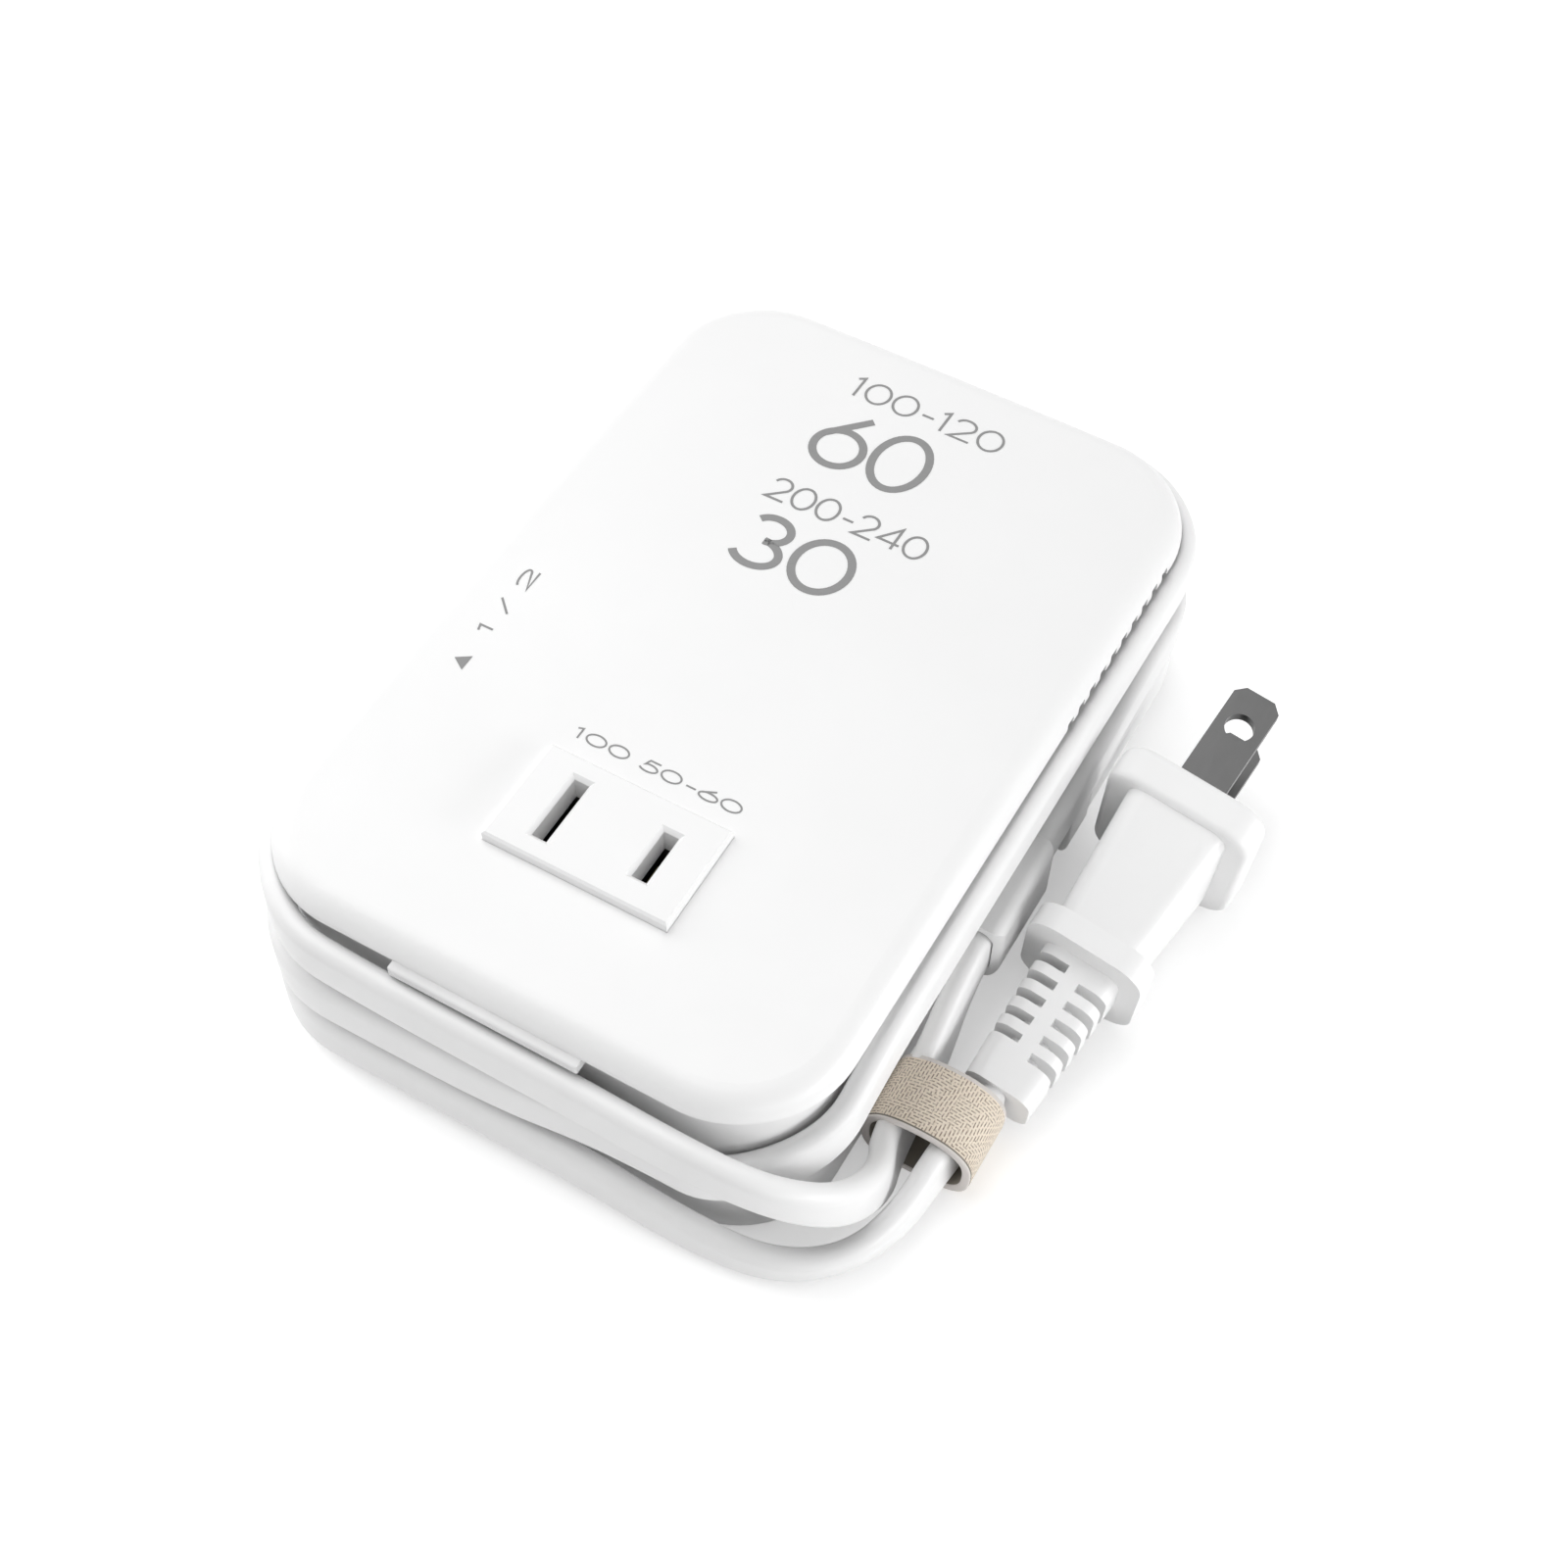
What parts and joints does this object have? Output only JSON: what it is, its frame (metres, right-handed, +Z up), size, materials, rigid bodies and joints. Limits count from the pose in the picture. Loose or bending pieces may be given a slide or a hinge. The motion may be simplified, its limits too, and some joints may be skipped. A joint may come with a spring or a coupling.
{
  "type": "travel voltage converter",
  "caption": "Flat rounded travel voltage converter with a top outlet, side charging ports and its own flat lead wound round the case to a two-blade plug.",
  "frame": {"origin": "on the surface that the case stands on, below the middle of the case without its lead", "axes": "+X across the case to the side with the plug, +Y along its length away from the outlet, +Z up through the outlet face"},
  "size_m": [0.1028, 0.1223, 0.0339],
  "materials": {
    "case": "satin white moulding",
    "drum": "satin light grey moulding",
    "tab": "fine grained light grey moulding",
    "screw": "zinc plated",
    "foot": "matt rubber",
    "housing": "black moulding",
    "contact": "bright brass",
    "core": "varnished laminations",
    "winding": "enamelled copper under tape",
    "clamp": "zinc plated",
    "board": "green board",
    "port": "stainless shell",
    "component": "dark sleeve",
    "cord": "soft satin white jacket",
    "strap": "beige woven strap with a grey edge",
    "plug": "satin white moulding",
    "blade": "dark nickel plate"
  },
  "bodies": {
    "case": {"top_cover": "case", "base_shell": "drum", "case_screw_1": "screw", "case_screw_2": "screw", "case_screw_3": "screw", "case_screw_4": "screw", "rubber_foot_1": "foot", "rubber_foot_2": "foot", "rubber_foot_3": "foot", "rubber_foot_4": "foot", "socket_plate": "case", "socket_housing": "housing", "socket_contact_left": "contact", "socket_contact_right": "contact", "transformer_core": "core", "bobbin": "housing", "primary_winding": "winding", "secondary_winding": "winding", "transformer_clamp": "clamp", "circuit_board": "board", "usb_a_port": "port", "usb_c_port": "port", "capacitor": "component", "choke": "component", "fuse": "component", "cord_tab": "tab", "cord_clip": "drum", "cord_exit": "drum", "cord_winding": "cord", "cord_loop": "cord", "cord_outer_lap": "cord", "cord_tail": "cord", "cord_strap": "strap", "plug_body": "plug", "plug_blade_lower": "blade", "plug_blade_upper": "blade", "plug_strain_relief": "plug"}
  },
  "joints": []
}
